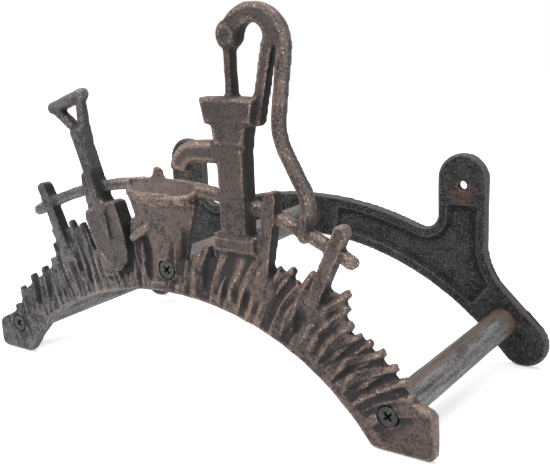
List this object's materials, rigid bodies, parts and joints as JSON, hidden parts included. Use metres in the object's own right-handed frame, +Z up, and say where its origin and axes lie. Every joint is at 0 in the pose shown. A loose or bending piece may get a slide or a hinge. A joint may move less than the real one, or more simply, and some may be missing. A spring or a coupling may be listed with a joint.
{
  "type": "hose hanger",
  "caption": "Wall-mounted cast-iron garden hose hanger: arched wall plate with screw ears, round bars between, and a front plate cast with grass, fence, spade, bucket and pump.",
  "frame": {"origin": "on the wall face of the wall plate, midway between the two ear holes", "axes": "+X to the right as seen from the front, +Y into the wall, +Z up"},
  "size_m": [0.3612, 0.1783, 0.2455],
  "materials": {
    "front_iron": "antique brown-grey with worn bronze edges",
    "wall_iron": "charcoal with fine grain",
    "bar_iron": "worn grey",
    "screw_steel": "blackened"
  },
  "bodies": {
    "root": {"front_plate": "front_iron", "wall_plate": "wall_iron", "left_bar": "bar_iron", "centre_bar": "bar_iron", "right_bar": "bar_iron", "front_screws": "screw_steel", "rear_screws": "screw_steel"}
  },
  "joints": []
}
